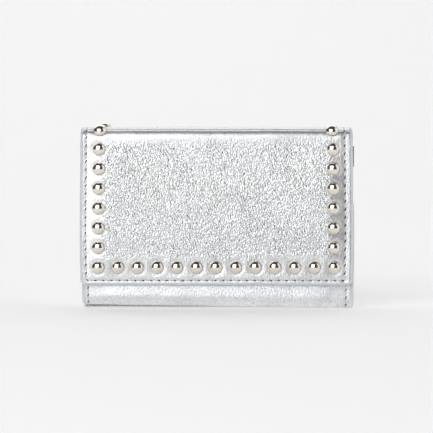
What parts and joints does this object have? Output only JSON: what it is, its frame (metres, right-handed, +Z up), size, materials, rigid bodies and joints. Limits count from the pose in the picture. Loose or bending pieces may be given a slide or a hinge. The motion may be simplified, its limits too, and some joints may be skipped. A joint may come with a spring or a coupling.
{
  "type": "wallet",
  "caption": "Compact metallic leather wallet with a studded front flap, folding pocket panel, snap coin pocket on the back and a side ring for a chain",
  "frame": {"origin": "middle of the flat underside of the bottom fold", "axes": "+X to the right seen from the front, -Y out of the studded front flap, +Z up with the wallet standing on its bottom fold"},
  "size_m": [0.1116, 0.0282, 0.075],
  "materials": {
    "outer_leather": "silver foil-coated leather with a fine creased grain",
    "lining": "smooth grey lining leather",
    "board": "pressed stiffener board",
    "stud": "polished pale champagne plating",
    "hardware": "polished nickel plating",
    "magnet": "dark ring magnet"
  },
  "bodies": {
    "body": {"back_panel": "outer_leather", "back_lining": "lining", "card_slot_upper": "lining", "card_slot_middle": "lining", "card_slot_lower": "lining", "base_fold_leather": "outer_leather", "base_fold_lining": "lining", "coin_pocket_wall": "outer_leather", "coin_gusset_left": "outer_leather", "coin_gusset_right": "outer_leather", "coin_gusset_base": "outer_leather", "coin_snap_stud": "hardware", "ring_tab": "outer_leather"},
    "spine": {"spine_top_leather": "outer_leather", "spine_top_lining": "lining", "stud_rear_left": "stud"},
    "fold": {"fold_leather": "outer_leather", "fold_lining": "lining", "stud_fold_left": "stud", "stud_fold_right": "stud"},
    "flap": {"flap_leather": "outer_leather", "flap_stiffener": "board", "flap_lining": "lining", "flap_snap_cup": "hardware", "flap_snap_magnet": "magnet", "stud_row_01": "stud", "stud_row_02": "stud", "stud_row_03": "stud", "stud_row_04": "stud", "stud_row_05": "stud", "stud_row_06": "stud", "stud_row_07": "stud", "stud_row_08": "stud", "stud_row_09": "stud", "stud_row_10": "stud", "stud_row_11": "stud", "stud_row_12": "stud", "stud_row_13": "stud", "stud_left_1": "stud", "stud_left_2": "stud", "stud_left_3": "stud", "stud_left_4": "stud", "stud_left_5": "stud", "stud_left_6": "stud", "stud_right_1": "stud", "stud_right_2": "stud", "stud_right_3": "stud", "stud_right_4": "stud", "stud_right_5": "stud", "stud_right_6": "stud"},
    "pocket": {"pocket_leather": "outer_leather", "pocket_lining": "lining", "pocket_card_slot": "lining", "pocket_snap_plate": "hardware"},
    "coin_lid": {"coin_lid_leather": "outer_leather", "coin_snap_cap": "hardware", "coin_snap_socket": "hardware"},
    "ring": {"d_ring": "hardware"}
  },
  "joints": [
    {"name": "spine_crease", "type": "hinge", "parent": "body", "child": "spine", "pos_m": [0, 0.00564, 0.07019], "axis": [-1, 0, 0], "range_deg": [0, 58.6]},
    {"name": "fold_crease", "type": "hinge", "parent": "spine", "child": "fold", "pos_m": [0, -0.00108, 0.07245], "axis": [-1, 0, 0], "range_deg": [0, 58.6]},
    {"name": "flap_crease", "type": "hinge", "parent": "fold", "child": "flap", "pos_m": [0, -0.00566, 0.06819], "axis": [-1, 0, 0], "range_deg": [0, 58.6]},
    {"name": "pocket_crease", "type": "hinge", "parent": "body", "child": "pocket", "pos_m": [0, -0.0065, 0.00438], "axis": [1, 0, 0], "range_deg": [0, 87.9]},
    {"name": "coin_lid_hinge", "type": "hinge", "parent": "body", "child": "coin_lid", "pos_m": [0, 0.00735, 0.062], "axis": [1, 0, 0], "range_deg": [0, 86]},
    {"name": "ring_hinge", "type": "hinge", "parent": "body", "child": "ring", "pos_m": [0.0549, 0.0041, 0.0612], "axis": [0, 0, -1], "range_deg": [0, 140]}
  ],
  "couplings": [
    {"joint": "fold_crease", "follows": "spine_crease", "ratio": 1},
    {"joint": "flap_crease", "follows": "spine_crease", "ratio": 1},
    {"joint": "pocket_crease", "follows": "spine_crease", "ratio": 1.5}
  ]
}
